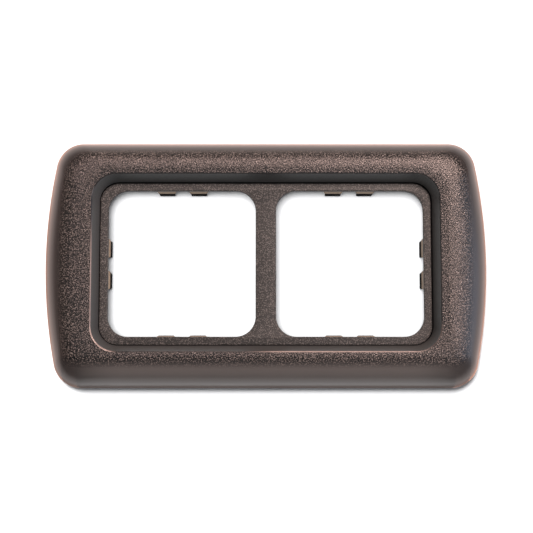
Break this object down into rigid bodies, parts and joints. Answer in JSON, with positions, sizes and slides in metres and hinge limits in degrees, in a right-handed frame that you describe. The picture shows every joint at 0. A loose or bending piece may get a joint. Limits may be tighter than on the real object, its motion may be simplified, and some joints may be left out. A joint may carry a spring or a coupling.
{
  "type": "wall plate cover",
  "caption": "Wall plate cover with a bulged grained rim that snaps over a flat module carrier with square rounded bays and sprung fingers.",
  "frame": {"origin": "middle of the back plane, where the cover meets the wall", "axes": "+X along the long side to the right, +Y up on the wall, +Z out of the wall"},
  "size_m": [0.1376, 0.0764, 0.012],
  "materials": {
    "rim_plastic": "dark brown, spark-grained on top and smoother on the sides",
    "carrier_plastic": "dark brown, fine grain",
    "finger_plastic": "dark brown, smooth"
  },
  "bodies": {
    "carrier": {"module_carrier": "carrier_plastic"},
    "rim": {"outer_rim": "rim_plastic"},
    "left_bay_top_finger_1_body": {"left_bay_top_finger_1": "finger_plastic"},
    "left_bay_bottom_finger_1_body": {"left_bay_bottom_finger_1": "finger_plastic"},
    "left_bay_end_finger_1_body": {"left_bay_end_finger_1": "finger_plastic"},
    "left_bay_top_finger_2_body": {"left_bay_top_finger_2": "finger_plastic"},
    "left_bay_bottom_finger_2_body": {"left_bay_bottom_finger_2": "finger_plastic"},
    "left_bay_end_finger_2_body": {"left_bay_end_finger_2": "finger_plastic"},
    "right_bay_top_finger_1_body": {"right_bay_top_finger_1": "finger_plastic"},
    "right_bay_bottom_finger_1_body": {"right_bay_bottom_finger_1": "finger_plastic"},
    "right_bay_end_finger_1_body": {"right_bay_end_finger_1": "finger_plastic"},
    "right_bay_top_finger_2_body": {"right_bay_top_finger_2": "finger_plastic"},
    "right_bay_bottom_finger_2_body": {"right_bay_bottom_finger_2": "finger_plastic"},
    "right_bay_end_finger_2_body": {"right_bay_end_finger_2": "finger_plastic"},
    "rim_clip_right_end_body": {"rim_clip_right_end": "rim_plastic"},
    "rim_clip_left_end_body": {"rim_clip_left_end": "rim_plastic"},
    "rim_clip_top_right_body": {"rim_clip_top_right": "rim_plastic"},
    "rim_clip_top_left_body": {"rim_clip_top_left": "rim_plastic"},
    "rim_clip_bottom_right_body": {"rim_clip_bottom_right": "rim_plastic"},
    "rim_clip_bottom_left_body": {"rim_clip_bottom_left": "rim_plastic"}
  },
  "joints": [
    {"name": "rim_lift", "type": "slide", "parent": "carrier", "child": "rim", "axis": [0, 0, 1], "range_m": [0, 0.015]},
    {"name": "left_bay_top_flex_1", "type": "hinge", "parent": "carrier", "child": "left_bay_top_finger_1_body", "pos_m": [-0.03085, 0.02302, 0.0051], "axis": [1, 0, 0], "range_deg": [0, 8.5], "stiffness_Nm_per_rad": 0.5},
    {"name": "left_bay_bottom_flex_1", "type": "hinge", "parent": "carrier", "child": "left_bay_bottom_finger_1_body", "pos_m": [-0.03085, -0.02302, 0.0051], "axis": [-1, 0, 0], "range_deg": [0, 8.5], "stiffness_Nm_per_rad": 0.5},
    {"name": "left_bay_end_flex_1", "type": "hinge", "parent": "carrier", "child": "left_bay_end_finger_1_body", "pos_m": [-0.0491, -0.00495, 0.0051], "axis": [0, 1, 0], "range_deg": [0, 8.5], "stiffness_Nm_per_rad": 0.5},
    {"name": "left_bay_top_flex_2", "type": "hinge", "parent": "carrier", "child": "left_bay_top_finger_2_body", "pos_m": [-0.02095, 0.02302, 0.0051], "axis": [1, 0, 0], "range_deg": [0, 8.5], "stiffness_Nm_per_rad": 0.5},
    {"name": "left_bay_bottom_flex_2", "type": "hinge", "parent": "carrier", "child": "left_bay_bottom_finger_2_body", "pos_m": [-0.02095, -0.02302, 0.0051], "axis": [-1, 0, 0], "range_deg": [0, 8.5], "stiffness_Nm_per_rad": 0.5},
    {"name": "left_bay_end_flex_2", "type": "hinge", "parent": "carrier", "child": "left_bay_end_finger_2_body", "pos_m": [-0.0491, 0.00495, 0.0051], "axis": [0, 1, 0], "range_deg": [0, 8.5], "stiffness_Nm_per_rad": 0.5},
    {"name": "right_bay_top_flex_1", "type": "hinge", "parent": "carrier", "child": "right_bay_top_finger_1_body", "pos_m": [0.02095, 0.02302, 0.0051], "axis": [1, 0, 0], "range_deg": [0, 8.5], "stiffness_Nm_per_rad": 0.5},
    {"name": "right_bay_bottom_flex_1", "type": "hinge", "parent": "carrier", "child": "right_bay_bottom_finger_1_body", "pos_m": [0.02095, -0.02302, 0.0051], "axis": [-1, 0, 0], "range_deg": [0, 8.5], "stiffness_Nm_per_rad": 0.5},
    {"name": "right_bay_end_flex_1", "type": "hinge", "parent": "carrier", "child": "right_bay_end_finger_1_body", "pos_m": [0.0491, -0.00495, 0.0051], "axis": [0, -1, 0], "range_deg": [0, 8.5], "stiffness_Nm_per_rad": 0.5},
    {"name": "right_bay_top_flex_2", "type": "hinge", "parent": "carrier", "child": "right_bay_top_finger_2_body", "pos_m": [0.03085, 0.02302, 0.0051], "axis": [1, 0, 0], "range_deg": [0, 8.5], "stiffness_Nm_per_rad": 0.5},
    {"name": "right_bay_bottom_flex_2", "type": "hinge", "parent": "carrier", "child": "right_bay_bottom_finger_2_body", "pos_m": [0.03085, -0.02302, 0.0051], "axis": [-1, 0, 0], "range_deg": [0, 8.5], "stiffness_Nm_per_rad": 0.5},
    {"name": "right_bay_end_flex_2", "type": "hinge", "parent": "carrier", "child": "right_bay_end_finger_2_body", "pos_m": [0.0491, 0.00495, 0.0051], "axis": [0, -1, 0], "range_deg": [0, 8.5], "stiffness_Nm_per_rad": 0.5},
    {"name": "rim_flex_right_end", "type": "hinge", "parent": "rim", "child": "rim_clip_right_end_body", "pos_m": [0.0584, 0, 0.0093], "axis": [0, -1, 0], "range_deg": [0, 6], "stiffness_Nm_per_rad": 0.6},
    {"name": "rim_flex_left_end", "type": "hinge", "parent": "rim", "child": "rim_clip_left_end_body", "pos_m": [-0.0584, 0, 0.0093], "axis": [0, 1, 0], "range_deg": [0, 6], "stiffness_Nm_per_rad": 0.6},
    {"name": "rim_flex_top_right", "type": "hinge", "parent": "rim", "child": "rim_clip_top_right_body", "pos_m": [0.034, 0.0312, 0.0093], "axis": [1, 0, 0], "range_deg": [0, 6], "stiffness_Nm_per_rad": 0.6},
    {"name": "rim_flex_top_left", "type": "hinge", "parent": "rim", "child": "rim_clip_top_left_body", "pos_m": [-0.034, 0.0312, 0.0093], "axis": [1, 0, 0], "range_deg": [0, 6], "stiffness_Nm_per_rad": 0.6},
    {"name": "rim_flex_bottom_right", "type": "hinge", "parent": "rim", "child": "rim_clip_bottom_right_body", "pos_m": [0.034, -0.0312, 0.0093], "axis": [-1, 0, 0], "range_deg": [0, 6], "stiffness_Nm_per_rad": 0.6},
    {"name": "rim_flex_bottom_left", "type": "hinge", "parent": "rim", "child": "rim_clip_bottom_left_body", "pos_m": [-0.034, -0.0312, 0.0093], "axis": [-1, 0, 0], "range_deg": [0, 6], "stiffness_Nm_per_rad": 0.6}
  ]
}
